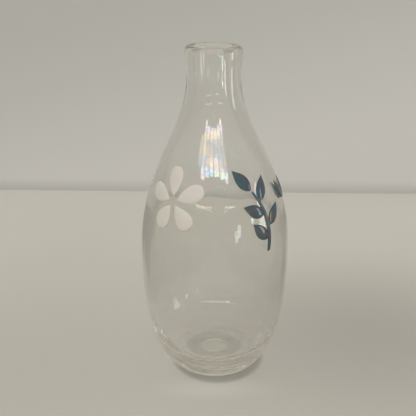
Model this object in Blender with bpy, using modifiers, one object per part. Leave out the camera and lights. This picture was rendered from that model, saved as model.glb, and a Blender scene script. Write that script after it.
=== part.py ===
"""Blown glass bottle vase with fused glass decoration, in metres, +Z up.

The vase stands on the plane Z = 0 with its axis on the Z axis, and its front faces -Y.
One gather of glass makes the neck, shoulder, body and heavy floor. Flat pieces of
coloured glass, a white blossom and dark leafy sprigs, lie against the outside of the body.
"""

import math

import bmesh
import bpy
from mathutils import Euler, Vector

# Outside of the vessel, stacked from the table up
FOOT_RADIUS = 0.027
BELLY_RADIUS = 0.054
BELLY_HEIGHT = 0.078
SHOULDER_RISE = 0.141
SHOULDER_FULLNESS = 1.5
NECK_RADIUS = 0.0183
NECK_LENGTH = 0.021

# Fire-rounded lip
LIP_BEAD = 0.0004
LIP_BEAD_REACH = 0.012

# Glass thickness: the belly is thin, the neck and the floor are heavy
BELLY_WALL = 0.0032
NECK_WALL = 0.0065
FLOOR_THICKNESS = 0.012
FLOOR_FLAT_RADIUS = 0.018

# How square the inside turns from the floor into the wall: 2 would be an ellipse
HEEL_SQUARENESS = 3.0

# Underside: a ring that stands on the table, a push-up and a ground pontil mark
FOOT_RING_WIDTH = 0.004
PUSH_UP_RISE = 0.0010
PONTIL_RADIUS = 0.0110
PONTIL_DEPTH = 0.0016

# Applied glass
TRIM_THICKNESS = 0.0012
FUSE_GAP = 0.0003

# White blossom, its place given round the body from the front and up from the belly
BLOSSOM_TURN = math.radians(-38)
BLOSSOM_RISE = 0.068
BLOSSOM_TILT = math.radians(8)
PETAL_COUNT = 5
PETAL_LENGTH = 0.0185
PETAL_WIDTH = 0.0115
BLOSSOM_EYE_RADIUS = 0.0030

# Dark sprig: a bowed stem with leaves to either side by turns and one leaf at its end
SPRIG_TURN = math.radians(38)
SPRIG_RISE = 0.054
SPRIG_TILT = math.radians(10)
STEM_LENGTH = 0.042
STEM_BOW = 0.005
STEM_WIDTH = 0.0032
LEAF_COUNT = 5
LEAF_LENGTH = 0.0165
LEAF_WIDTH = 0.0085
LEAF_SPREAD = math.radians(48)
LEAF_CLEARANCE = 0.0006

# Pair of dark leaves further round the body
PAIR_TURN = math.radians(80)
PAIR_RISE = 0.060
PAIR_TILT = math.radians(-8)
PAIR_SPREAD = math.radians(70)
PAIR_LEAF_LENGTH = 0.0170
PAIR_LEAF_WIDTH = 0.0070

# Fineness of the turned surfaces
TURN_STEPS = 56
BODY_RINGS = 11
SHOULDER_RINGS = 15
LIP_STEPS = 6
STEM_STEPS = 8
OUTLINE_RESOLUTION = 6

MERGE_DISTANCE = 0.00001

VASE_HEIGHT = BELLY_HEIGHT + SHOULDER_RISE + NECK_LENGTH
NECK_FOOT = BELLY_HEIGHT + SHOULDER_RISE
LIP_FOOT = VASE_HEIGHT - NECK_WALL / 2

CLEAR_GLASS = {"colour": (0.90, 0.91, 0.88), "roughness": 0.03, "transmission": 1.0}
WHITE_GLASS = {"colour": (0.62, 0.58, 0.51), "roughness": 0.20, "transmission": 0.0}
DARK_GLASS = {"colour": (0.025, 0.055, 0.070), "roughness": 0.15, "transmission": 0.0}


def outer_radius(height):
    """Outside radius: a quarter ellipse up to the belly, an S-curve to the neck, then the lip's bead."""
    if height < BELLY_HEIGHT:
        drop = (BELLY_HEIGHT - height) / BELLY_HEIGHT
        return FOOT_RADIUS + (BELLY_RADIUS - FOOT_RADIUS) * math.sqrt(max(1 - drop**2, 0))
    share = min((height - BELLY_HEIGHT) / SHOULDER_RISE, 1)
    sweep = (1 + math.cos(math.pi * share**SHOULDER_FULLNESS)) / 2
    radius = NECK_RADIUS + (BELLY_RADIUS - NECK_RADIUS) * sweep
    below_lip = (LIP_FOOT - height) / LIP_BEAD_REACH
    if below_lip < 1:
        radius += LIP_BEAD * (1 + math.cos(math.pi * max(below_lip, 0))) / 2
    return radius


def wall_thickness(height):
    """Thickness above the belly, where the wall grows towards the neck as the shoulder closes."""
    share = min(max((height - BELLY_HEIGHT) / SHOULDER_RISE, 0), 1)
    return BELLY_WALL + (NECK_WALL - BELLY_WALL) * share**SHOULDER_FULLNESS


def inner_lower_point(turn):
    """Point of the inside below the belly, on a squarish quarter ellipse from the floor's flat to the wall."""
    power = 2 / HEEL_SQUARENESS
    reach = BELLY_RADIUS - BELLY_WALL - FLOOR_FLAT_RADIUS
    drop = BELLY_HEIGHT - FLOOR_THICKNESS
    return FLOOR_FLAT_RADIUS + reach * math.sin(turn) ** power, BELLY_HEIGHT - drop * math.cos(turn) ** power


def quarter_turns(count):
    """Angles from 0 to a right angle, in equal steps."""
    return [math.pi / 2 * step / count for step in range(count + 1)]


def shoulder_heights():
    """Heights from the belly to the foot of the neck, both ends included."""
    return [BELLY_HEIGHT + SHOULDER_RISE * step / SHOULDER_RINGS for step in range(SHOULDER_RINGS + 1)]


def neck_heights():
    """Heights on the neck above the shoulder, up to where the lip starts to round."""
    bead_foot = max(LIP_FOOT - LIP_BEAD_REACH, NECK_FOOT)
    reach = LIP_FOOT - bead_foot
    return [bead_foot + reach * share for share in (0.25, 0.5, 0.75, 1)]


def outer_profile():
    """Outside of the vessel from the lip's foot down to the foot ring, as (radius, height)."""
    upper = shoulder_heights() + neck_heights()
    points = [(outer_radius(height), height) for height in reversed(upper)]
    for turn in reversed(quarter_turns(BODY_RINGS)[:-1]):
        radius = FOOT_RADIUS + (BELLY_RADIUS - FOOT_RADIUS) * math.sin(turn)
        points.append((radius, BELLY_HEIGHT * (1 - math.cos(turn))))
    return points


def inner_profile():
    """Inside of the vessel from the middle of the floor up to the lip's foot."""
    points = [(0, FLOOR_THICKNESS)]
    points += [inner_lower_point(turn) for turn in quarter_turns(BODY_RINGS)[:-1]]
    for height in shoulder_heights():
        points.append((outer_radius(height) - wall_thickness(height), height))
    bore = NECK_RADIUS - NECK_WALL
    points += [(bore, height) for height in neck_heights()[1::2]]
    return points


def lip_profile():
    """Rounded lip, from the bore over the top to the outside, both ends left out."""
    bore = NECK_RADIUS - NECK_WALL
    rim = outer_radius(LIP_FOOT)
    middle = (bore + rim) / 2
    points = []
    for step in range(1, LIP_STEPS):
        turn = math.pi * step / LIP_STEPS
        radius = middle - (rim - bore) / 2 * math.cos(turn)
        points.append((radius, LIP_FOOT + (VASE_HEIGHT - LIP_FOOT) * math.sin(turn)))
    return points


def underside_profile():
    """Underside from the inner edge of the foot ring to the axis: push-up, then the ground pontil."""
    ring_inside = FOOT_RADIUS - FOOT_RING_WIDTH
    points = [(ring_inside, 0)]
    for share in (1 / 3, 2 / 3, 1):
        radius = ring_inside + (PONTIL_RADIUS - ring_inside) * share
        points.append((radius, PUSH_UP_RISE * math.sin(math.pi / 2 * share)))
    for share in (2 / 3, 1 / 3, 0):
        points.append((PONTIL_RADIUS * share, PUSH_UP_RISE + PONTIL_DEPTH * (1 - share**2)))
    return points


def offset_outwards(points, distance):
    """The profile moved square to itself, away from the axis."""
    moved = []
    last = len(points) - 1
    for index, (radius, height) in enumerate(points):
        before = points[max(index - 1, 0)]
        after = points[min(index + 1, last)]
        along = Vector((after[0] - before[0], after[1] - before[1])).normalized()
        moved.append((radius - along.y * distance, height + along.x * distance))
    return moved


def make_collection(name):
    """A new collection in the scene."""
    collection = bpy.data.collections.new(name)
    bpy.context.scene.collection.children.link(collection)
    return collection


def make_material(name, finish):
    """Principled material with a plain colour, roughness and transmission."""
    material = bpy.data.materials.new(name)
    material.use_nodes = True
    shader = material.node_tree.nodes["Principled BSDF"]
    shader.inputs["Base Color"].default_value = (*finish["colour"], 1)
    shader.inputs["Roughness"].default_value = finish["roughness"]
    shader.inputs["Metallic"].default_value = 0
    shader.inputs["Transmission Weight"].default_value = finish["transmission"]
    return material


def make_turned(name, profile, closed, collection):
    """Surface of revolution about Z from a profile of (radius, height) points."""
    mesh = bpy.data.meshes.new(name)
    shape = bmesh.new()
    verts = [shape.verts.new((radius, 0, height)) for radius, height in profile]
    for start, end in zip(verts, verts[1:]):
        shape.edges.new((start, end))
    if closed:
        shape.edges.new((verts[-1], verts[0]))
    shape.to_mesh(mesh)
    shape.free()
    turned = bpy.data.objects.new(name, mesh)
    collection.objects.link(turned)
    screw = turned.modifiers.new("Turn", "SCREW")
    screw.axis = "Z"
    screw.steps = TURN_STEPS
    screw.render_steps = TURN_STEPS
    screw.use_merge_vertices = True
    screw.merge_threshold = MERGE_DISTANCE
    screw.use_smooth_shade = True
    return turned


def make_vessel(collection):
    """The blown vessel, from the middle of its floor over the lip and down to the pontil."""
    profile = inner_profile() + lip_profile() + outer_profile() + underside_profile()
    vessel = make_turned("vase_body", profile, False, collection)
    vessel.data.materials.append(make_material("clear_glass", CLEAR_GLASS))
    return vessel


def make_trim_layer(collection):
    """Thin layer that follows the outside a fuse gap away. The applied glass is cut from it."""
    wall = [point for point in outer_profile() if point[1] < NECK_FOOT]
    face = offset_outwards(wall, FUSE_GAP + TRIM_THICKNESS)
    back = offset_outwards(wall, FUSE_GAP)
    layer = make_turned("trim_layer", face + back[::-1], True, collection)
    hide_helper(layer)
    return layer


def hide_helper(helper):
    """Keeps a cutter or a guide out of the finished model."""
    helper.hide_render = True
    helper.display_type = "WIRE"


def make_station(name, turn, rise, tilt, collection):
    """Empty on the wall, its Z pointing away from the axis and its Y up the wall, tilted in its plane."""
    height = BELLY_HEIGHT + rise
    station = bpy.data.objects.new(name, None)
    station.empty_display_size = PETAL_LENGTH
    radius = outer_radius(height)
    station.location = (radius * math.sin(turn), -radius * math.cos(turn), height)
    facing = Euler((math.pi / 2, 0, turn)).to_matrix()
    tilted = facing @ Euler((0, 0, tilt)).to_matrix()
    station.rotation_euler = tilted.to_euler()
    collection.objects.link(station)
    return station


def make_outline(name, points, kind):
    """Closed flat curve through the points, filled and thick enough to pass through the trim layer."""
    curve = bpy.data.curves.new(name, "CURVE")
    curve.dimensions = "2D"
    curve.fill_mode = "BOTH"
    curve.extrude = outline_half_depth()
    curve.resolution_u = OUTLINE_RESOLUTION
    spline = curve.splines.new(kind)
    if kind == "BEZIER":
        spline.bezier_points.add(len(points) - 1)
        for knot, (x, y, handle) in zip(spline.bezier_points, points):
            knot.co = (x, y, 0)
            knot.handle_left_type = handle
            knot.handle_right_type = handle
    else:
        spline.points.add(len(points) - 1)
        for knot, (x, y) in zip(spline.points, points):
            knot.co = (x, y, 0, 1)
    spline.use_cyclic_u = True
    return curve


def outline_half_depth():
    """Half the depth of an outline: as far as the wall curves away under the widest motif."""
    reach = BLOSSOM_EYE_RADIUS + PETAL_LENGTH
    return min(max(reach, STEM_LENGTH / 2), NECK_RADIUS)


def petal_outline():
    """Rounded petal that grows from its narrow heel along +Y."""
    heel = BLOSSOM_EYE_RADIUS
    widest = heel + PETAL_LENGTH * 0.62
    half = PETAL_WIDTH / 2
    points = [
        (0, heel, "VECTOR"),
        (half, widest, "AUTO"),
        (0, heel + PETAL_LENGTH, "AUTO"),
        (-half, widest, "AUTO"),
    ]
    return make_outline("petal_outline", points, "BEZIER")


def leaf_outline(length, width):
    """Lance leaf that grows from the origin along +Y, pointed at both ends."""
    half = width / 2
    points = [
        (0, 0, "VECTOR"),
        (half, length * 0.42, "AUTO"),
        (0, length, "VECTOR"),
        (-half, length * 0.42, "AUTO"),
    ]
    return make_outline("leaf_outline", points, "BEZIER")


def stem_point(share):
    """Centre line of the stem, bowed to +X, and its direction, at a share of its length."""
    x = STEM_BOW * (1 - (2 * share - 1) ** 2)
    y = STEM_LENGTH * (share - 0.5)
    slope = -4 * STEM_BOW * (2 * share - 1) / STEM_LENGTH
    return Vector((x, y)), Vector((slope, 1)).normalized()


def stem_outline():
    """Bowed stem that narrows to half its width at the top."""
    right = []
    left = []
    for step in range(STEM_STEPS + 1):
        share = step / STEM_STEPS
        centre, along = stem_point(share)
        half = STEM_WIDTH / 2 * (1 - share / 2)
        side = Vector((along.y, -along.x)) * half
        right.append(tuple(centre + side))
        left.append(tuple(centre - side))
    return make_outline("stem_outline", right + left[::-1], "POLY")


def make_trim(name, outline, station, place, turn, layer, material, collection):
    """One piece of applied glass: the outline, placed on its station, common with the trim layer."""
    blank = bpy.data.objects.new(name + "_outline", outline)
    collection.objects.link(blank)
    bpy.context.view_layer.update()
    solid = bpy.context.evaluated_depsgraph_get()
    mesh = bpy.data.meshes.new_from_object(blank.evaluated_get(solid))
    shape = bmesh.new()
    shape.from_mesh(mesh)
    bmesh.ops.remove_doubles(shape, verts=shape.verts, dist=MERGE_DISTANCE)
    bmesh.ops.recalc_face_normals(shape, faces=shape.faces)
    shape.to_mesh(mesh)
    shape.free()
    bpy.data.objects.remove(blank)
    mesh.name = name
    mesh.materials.clear()
    mesh.materials.append(material)
    trim = bpy.data.objects.new(name, mesh)
    collection.objects.link(trim)
    trim.parent = station
    trim.location = (place[0], place[1], 0)
    trim.rotation_euler = (0, 0, turn)
    common = trim.modifiers.new("Follow the wall", "BOOLEAN")
    common.operation = "INTERSECT"
    common.solver = "EXACT"
    common.object = layer
    return trim


def make_blossom(layer, parts):
    """White petals round an open eye."""
    white = make_material("white_glass", WHITE_GLASS)
    station = make_station("blossom_centre", BLOSSOM_TURN, BLOSSOM_RISE, BLOSSOM_TILT, parts)
    for index in range(PETAL_COUNT):
        turn = math.tau * index / PETAL_COUNT
        name = f"blossom_petal_{index + 1}"
        make_trim(name, petal_outline(), station, (0, 0), turn, layer, white, parts)


def leaf_seat(share, side, spread):
    """Foot of a leaf beside the stem and its turn, with side -1 for the left and 1 for the right."""
    centre, along = stem_point(share)
    across = Vector((along.y, -along.x)) * side
    half = STEM_WIDTH / 2 * (1 - share / 2)
    foot = centre + across * (half + LEAF_CLEARANCE)
    turn = math.atan2(-along.x, along.y) - side * spread
    return foot, turn


def make_sprig(layer, dark, parts):
    """Dark stem with leaves by turns to its right and left, and the last leaf at its tip."""
    station = make_station("sprig_centre", SPRIG_TURN, SPRIG_RISE, SPRIG_TILT, parts)
    make_trim("sprig_stem", stem_outline(), station, (0, 0), 0, layer, dark, parts)
    side_leaves = LEAF_COUNT - 1
    for index in range(side_leaves):
        share = (index + 1) / LEAF_COUNT
        side = 1 if index % 2 else -1
        foot, turn = leaf_seat(share, side, LEAF_SPREAD)
        leaf = leaf_outline(LEAF_LENGTH, LEAF_WIDTH)
        make_trim(f"sprig_leaf_{index + 1}", leaf, station, foot, turn, layer, dark, parts)
    tip, along = stem_point(1)
    foot = tip + along * LEAF_CLEARANCE
    turn = math.atan2(-along.x, along.y)
    leaf = leaf_outline(LEAF_LENGTH, LEAF_WIDTH)
    make_trim(f"sprig_leaf_{LEAF_COUNT}", leaf, station, foot, turn, layer, dark, parts)


def make_leaf_pair(layer, dark, parts):
    """Two dark leaves that spread from one point, further round the body."""
    station = make_station("pair_centre", PAIR_TURN, PAIR_RISE, PAIR_TILT, parts)
    for index, side in enumerate((-1, 1)):
        leaf = leaf_outline(PAIR_LEAF_LENGTH, PAIR_LEAF_WIDTH)
        foot = (side * LEAF_CLEARANCE, 0)
        turn = -side * PAIR_SPREAD / 2
        make_trim(f"pair_leaf_{index + 1}", leaf, station, foot, turn, layer, dark, parts)


def main():
    """Clears the scene and builds the vase."""
    for old in list(bpy.data.objects):
        bpy.data.objects.remove(old)
    parts = make_collection("glass_vase")
    helpers = make_collection("cutters")
    make_vessel(parts)
    layer = make_trim_layer(helpers)
    make_blossom(layer, parts)
    dark = make_material("dark_glass", DARK_GLASS)
    make_sprig(layer, dark, parts)
    make_leaf_pair(layer, dark, parts)


main()
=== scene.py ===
"""Looks of a blown glass bottle vase: clear lustred glass with fused white and dark trim.

Everything is in metres, +Z up. The vase's axis is the Z axis and its front faces -Y.
Angles round the vase are counted from the front, positive towards +X.
"""

import logging
import math
from dataclasses import dataclass, field
from enum import Enum
from typing import Any, Iterable, Sequence

import bpy
from bpy.types import ID, Material, Mesh, Node, NodeSocket, NodeTree, Object
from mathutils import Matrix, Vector


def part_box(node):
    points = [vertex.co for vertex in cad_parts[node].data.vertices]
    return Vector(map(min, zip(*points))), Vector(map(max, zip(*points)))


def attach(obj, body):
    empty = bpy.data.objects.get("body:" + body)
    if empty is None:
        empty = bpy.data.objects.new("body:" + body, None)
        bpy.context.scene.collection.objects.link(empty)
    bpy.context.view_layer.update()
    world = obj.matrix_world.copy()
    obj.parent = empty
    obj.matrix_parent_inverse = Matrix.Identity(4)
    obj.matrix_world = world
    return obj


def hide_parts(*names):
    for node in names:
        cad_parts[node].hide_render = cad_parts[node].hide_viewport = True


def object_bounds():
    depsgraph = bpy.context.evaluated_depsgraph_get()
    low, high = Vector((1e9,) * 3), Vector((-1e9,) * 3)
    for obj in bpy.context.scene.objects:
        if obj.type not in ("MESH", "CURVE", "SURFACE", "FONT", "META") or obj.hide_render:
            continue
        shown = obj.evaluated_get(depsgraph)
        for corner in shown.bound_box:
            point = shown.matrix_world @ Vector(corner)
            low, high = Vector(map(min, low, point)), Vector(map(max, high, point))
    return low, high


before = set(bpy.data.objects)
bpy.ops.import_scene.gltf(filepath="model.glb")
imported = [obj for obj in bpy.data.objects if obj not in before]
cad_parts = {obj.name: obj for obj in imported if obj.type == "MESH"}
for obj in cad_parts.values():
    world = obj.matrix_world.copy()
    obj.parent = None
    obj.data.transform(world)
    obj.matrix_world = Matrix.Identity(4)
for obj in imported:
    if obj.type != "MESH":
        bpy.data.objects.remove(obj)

CAD_BOX = [list(corner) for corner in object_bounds()]
BODY = "root"
VESSEL_NODE = "vase_body"
VASE_HEIGHT = CAD_BOX[1][2]
BELLY_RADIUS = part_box(VESSEL_NODE)[1][0]
PONTIL_RADIUS = 0.0110
MERGE_DISTANCE = 0.00001
GLASS_INDEX = 1.5
GLASS_BOUNCES = 64
MIX_SHARE, MIX_FIRST, MIX_SECOND, MIX_RESULT = 0, 6, 7, 2

LOG = logging.getLogger("glass_vase")

Span = tuple[float, float]
Colour = tuple[float, float, float]
Sockets = bpy.types.bpy_prop_collection


class Glass(Enum):
    """The three glasses, each by the name of its material slot."""

    CLEAR = "clear_glass"
    WHITE = "white_glass"
    DARK = "dark_glass"


class TreeWriter:
    """Adds nodes to one node tree and wires them as they are asked for."""

    def __init__(self, tree: NodeTree) -> None:
        """Starts on an empty tree."""
        self.tree = tree
        tree.nodes.clear()

    def add(self, kind: str, inputs: dict | None = None, **settings: Any) -> Node:
        """Adds a node and feeds its inputs.

        Args:
            kind: Blender's name of the node type.
            inputs: Values or sockets, by input name or index.
            settings: Properties of the node by name.

        Returns:
            The new node.
        """
        node = self.tree.nodes.new(kind)
        for name, value in settings.items():
            setattr(node, name, value)
        for name, value in (inputs or {}).items():
            self.feed(node.inputs[name], value)
        return node

    def feed(self, socket: NodeSocket, value: Any) -> None:
        """Links a socket to an input, or sets the input's value.

        Args:
            socket: The input.
            value: Socket to link, or value to set.
        """
        if isinstance(value, NodeSocket):
            self.tree.links.new(value, socket)
        else:
            socket.default_value = value

    def place(self, kind: str, inputs: dict, output: Any = 0, **settings: Any) -> NodeSocket:
        """Adds a node and gives one of its outputs, by name or index."""
        return self.add(kind, inputs, **settings).outputs[output]

    def math(self, operation: str, *values: Any) -> NodeSocket:
        """One Math node on numbers or sockets."""
        return self.place("ShaderNodeMath", dict(enumerate(values)), operation=operation)

    def plus(self, first: Any, second: Any) -> NodeSocket:
        """The sum of two numbers or sockets."""
        return self.math("ADD", first, second)

    def minus(self, first: Any, second: Any) -> NodeSocket:
        """The difference of two numbers or sockets."""
        return self.math("SUBTRACT", first, second)

    def times(self, first: Any, second: Any) -> NodeSocket:
        """The product of two numbers or sockets."""
        return self.math("MULTIPLY", first, second)

    def vector(self, operation: str, first: Any, second: Any) -> NodeSocket:
        """One Vector Math node on two vectors or sockets."""
        return self.place("ShaderNodeVectorMath", {0: first, 1: second}, operation=operation)

    def scaled(self, vector: Any, factor: Any) -> NodeSocket:
        """A vector times a number."""
        return self.place("ShaderNodeVectorMath", {0: vector, "Scale": factor}, operation="SCALE")

    def length(self, vector: Any) -> NodeSocket:
        """The length of a vector."""
        return self.place("ShaderNodeVectorMath", {0: vector}, "Value", operation="LENGTH")

    def turned(self, vector: Any, angle: Any) -> NodeSocket:
        """A vector turned about Z."""
        inputs = {"Vector": vector, "Angle": angle}
        return self.place("ShaderNodeVectorRotate", inputs, rotation_type="Z_AXIS")

    def split(self, vector: Any) -> Sockets:
        """The X, Y and Z of a vector."""
        return self.add("ShaderNodeSeparateXYZ", {0: vector}).outputs

    def joined(self, x: Any, y: Any, z: Any) -> NodeSocket:
        """A vector from three numbers or sockets."""
        return self.place("ShaderNodeCombineXYZ", {0: x, 1: y, 2: z})

    def outward(self, turn: Any) -> NodeSocket:
        """The level direction away from the vase's axis, at an angle round it from the front."""
        return self.joined(self.math("SINE", turn), self.times(self.math("COSINE", turn), -1.0), 0.0)

    def ranged(self, value: Any, low: Any, high: Any, to_low: Any = 0.0, to_high: Any = 1.0) -> NodeSocket:
        """A number mapped smoothly from one range to another and held at its ends."""
        inputs = {"Value": value, "From Min": low, "From Max": high, "To Min": to_low, "To Max": to_high}
        return self.place("ShaderNodeMapRange", inputs, "Result", interpolation_type="SMOOTHSTEP")

    def noise(self, vector: Any, scale: Any, detail: float, **more: Any) -> NodeSocket:
        """Soft noise from 0 to 1. Its node takes more inputs by name."""
        inputs = {"Vector": vector, "Scale": scale, "Detail": detail, **more}
        return self.place("ShaderNodeTexNoise", inputs, "Fac")

    def mixed(self, share: Any, first: Any, second: Any) -> NodeSocket:
        """A colour between two others.

        Args:
            share: Share of the second colour.
            first: Colour or socket.
            second: Colour or socket.

        Returns:
            The mixed colour.
        """
        first, second = (end if isinstance(end, NodeSocket) else (*end, 1) for end in (first, second))
        inputs = {MIX_SHARE: share, MIX_FIRST: first, MIX_SECOND: second}
        return self.place("ShaderNodeMix", inputs, MIX_RESULT, data_type="RGBA")


class GlassWriter(TreeWriter):
    """Writes the tree of a glass round its shader."""

    def __init__(self, tree: NodeTree) -> None:
        """Starts with the shader and with the place on the vase, whole and in its three parts.

        Args:
            tree: The material's tree.
        """
        super().__init__(tree)
        self.shader = self.add("ShaderNodeBsdfPrincipled")
        self.position = self.add("ShaderNodeTexCoord").outputs["Object"]
        self.x, self.y, self.height = self.split(self.position)

    def dress(self, name: str, value: Any) -> None:
        """Feeds one input of the shader."""
        self.feed(self.shader.inputs[name], value)

    def worn(self, name: str) -> NodeSocket:
        """What feeds an input of the shader so far."""
        return self.shader.inputs[name].links[0].from_socket

    def grouped(self, group: NodeTree) -> NodeSocket:
        """What a shared group puts out at the place on the vase."""
        return self.place("ShaderNodeGroup", {"Position": self.position}, node_tree=group)

    def off_axis(self) -> NodeSocket:
        """Distance from the vase's axis."""
        return self.length(self.joined(self.x, self.y, 0.0))


def new_geometry_tree(name: str, numbers: Iterable[str],
                      others: dict[str, str]) -> tuple[TreeWriter, Sockets]:
    """Starts a Geometry Nodes tree with a geometry input and output.

    Args:
        name: Name of the tree.
        numbers: Names of the inputs that are plain numbers.
        others: Socket type of each further input, by its name.

    Returns:
        The writer of the tree and the sockets of its inputs.
    """
    tree = bpy.data.node_groups.new(name, "GeometryNodeTree")
    kinds = {"Geometry": "NodeSocketGeometry", **dict.fromkeys(numbers, "NodeSocketFloat"), **others}
    for label, kind in kinds.items():
        tree.interface.new_socket(label, in_out="INPUT", socket_type=kind)
    tree.interface.new_socket("Geometry", in_out="OUTPUT", socket_type="NodeSocketGeometry")
    writer = TreeWriter(tree)
    return writer, writer.add("NodeGroupInput").outputs


def end_geometry_tree(writer: TreeWriter, shape: NodeSocket, glass: NodeSocket) -> None:
    """Ends a tree: merged, smooth, real and with its material set.

    Args:
        writer: Writer of the tree.
        shape: The shape so far.
        glass: Its material.
    """
    shape = writer.place("GeometryNodeMergeByDistance", {"Geometry": shape, "Distance": MERGE_DISTANCE})
    shape = writer.place("GeometryNodeSetShadeSmooth", {"Geometry": shape})
    shape = writer.place("GeometryNodeRealizeInstances", {"Geometry": shape})
    shape = writer.place("GeometryNodeSetMaterial", {"Geometry": shape, "Material": glass})
    writer.add("NodeGroupOutput", {"Geometry": shape})


def put(name: str, data: ID) -> Object:
    """Puts a new object into the scene.

    Args:
        name: Name of the object.
        data: Its mesh, light or camera.

    Returns:
        The object, at the origin.
    """
    made = bpy.data.objects.new(name, data)
    bpy.context.scene.collection.objects.link(made)
    return made


def grown(name: str, seed_mesh: Mesh, tree: NodeTree, values: dict[str, Any]) -> Object:
    """Runs a Geometry Nodes tree once and keeps its result as a plain mesh.

    Args:
        name: Name of the finished piece.
        seed_mesh: Mesh that the tree starts from.
        tree: The Geometry Nodes tree.
        values: Value of each named input.

    Returns:
        The finished piece, at the origin, with no modifier.
    """
    seed = put(name + "_seed", seed_mesh)
    modifier = seed.modifiers.new("Grow", "NODES")
    modifier.node_group = tree
    for item in tree.interface.items_tree:
        if item.in_out == "INPUT" and item.name in values:
            modifier[item.identifier] = values[item.name]
    bpy.context.view_layer.update()
    graph = bpy.context.evaluated_depsgraph_get()
    mesh = bpy.data.meshes.new_from_object(seed.evaluated_get(graph))
    mesh.name = name
    bpy.data.objects.remove(seed)
    return put(name, mesh)


def declare(piece: Object, node: str, glass: Glass) -> None:
    """Hides the CAD part of the node that a piece stands for and hangs the piece on its body.

    Args:
        piece: The finished piece.
        node: The node.
        glass: The piece's glass; not used.
    """
    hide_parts(node)
    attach(piece, BODY)
    LOG.info("%s: %d faces", piece.name, len(piece.data.polygons))


class EffectGroups:
    """Shader groups that more than one glass uses."""

    def __init__(self) -> None:
        """Builds each group once."""
        self.ripple = self.build_ripple()
        self.marks = self.build_marks()

    @staticmethod
    def start(name: str, numbers: dict[str, float], output: str) -> tuple[TreeWriter, Sockets]:
        """Starts a shader group that works on a position.

        Args:
            name: Name of the group.
            numbers: First value of each further input, by its name.
            output: Name of the number that the group puts out.

        Returns:
            The writer of the group and the sockets of its inputs.
        """
        tree = bpy.data.node_groups.new(name, "ShaderNodeTree")
        tree.interface.new_socket("Position", in_out="INPUT", socket_type="NodeSocketVector")
        for label, value in numbers.items():
            socket = tree.interface.new_socket(label, in_out="INPUT", socket_type="NodeSocketFloat")
            socket.default_value = value
        tree.interface.new_socket(output, in_out="OUTPUT", socket_type="NodeSocketFloat")
        writer = TreeWriter(tree)
        return writer, writer.add("NodeGroupInput").outputs

    def build_ripple(self) -> NodeTree:
        """Height of the soft drawn ripple that blown glass keeps, longer up the wall than round it.

        Returns:
            The group.
        """
        numbers = {"Wave Scale": 90.0, "Draw": 0.3, "Fine Scale": 300.0, "Fine Share": 0.3}
        writer, given = self.start("drawn_ripple", numbers, "Height")
        drawn = writer.vector("MULTIPLY", given["Position"], writer.joined(1.0, 1.0, given["Draw"]))
        wave = writer.noise(drawn, given["Wave Scale"], detail=1.0)
        fine = writer.noise(drawn, given["Fine Scale"], detail=2.0)
        writer.add("NodeGroupOutput", {"Height": writer.plus(wave, writer.times(fine, given["Fine Share"]))})
        return writer.tree

    def build_marks(self) -> NodeTree:
        """Mask of faint handling marks, from 0 where the glass is clean to 1 in a smudge.

        Returns:
            The group.
        """
        numbers = {"Patch Scale": 30.0, "Grain Scale": 900.0, "Spread": 0.58, "Softness": 0.2}
        writer, given = self.start("handling_marks", numbers, "Mask")
        patch = writer.noise(given["Position"], given["Patch Scale"], detail=3.0)
        grain = writer.noise(given["Position"], given["Grain Scale"], detail=2.0)
        patch = writer.ranged(patch, given["Spread"], writer.plus(given["Spread"], given["Softness"]))
        writer.add("NodeGroupOutput", {"Mask": writer.times(patch, grain)})
        return writer.tree


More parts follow.
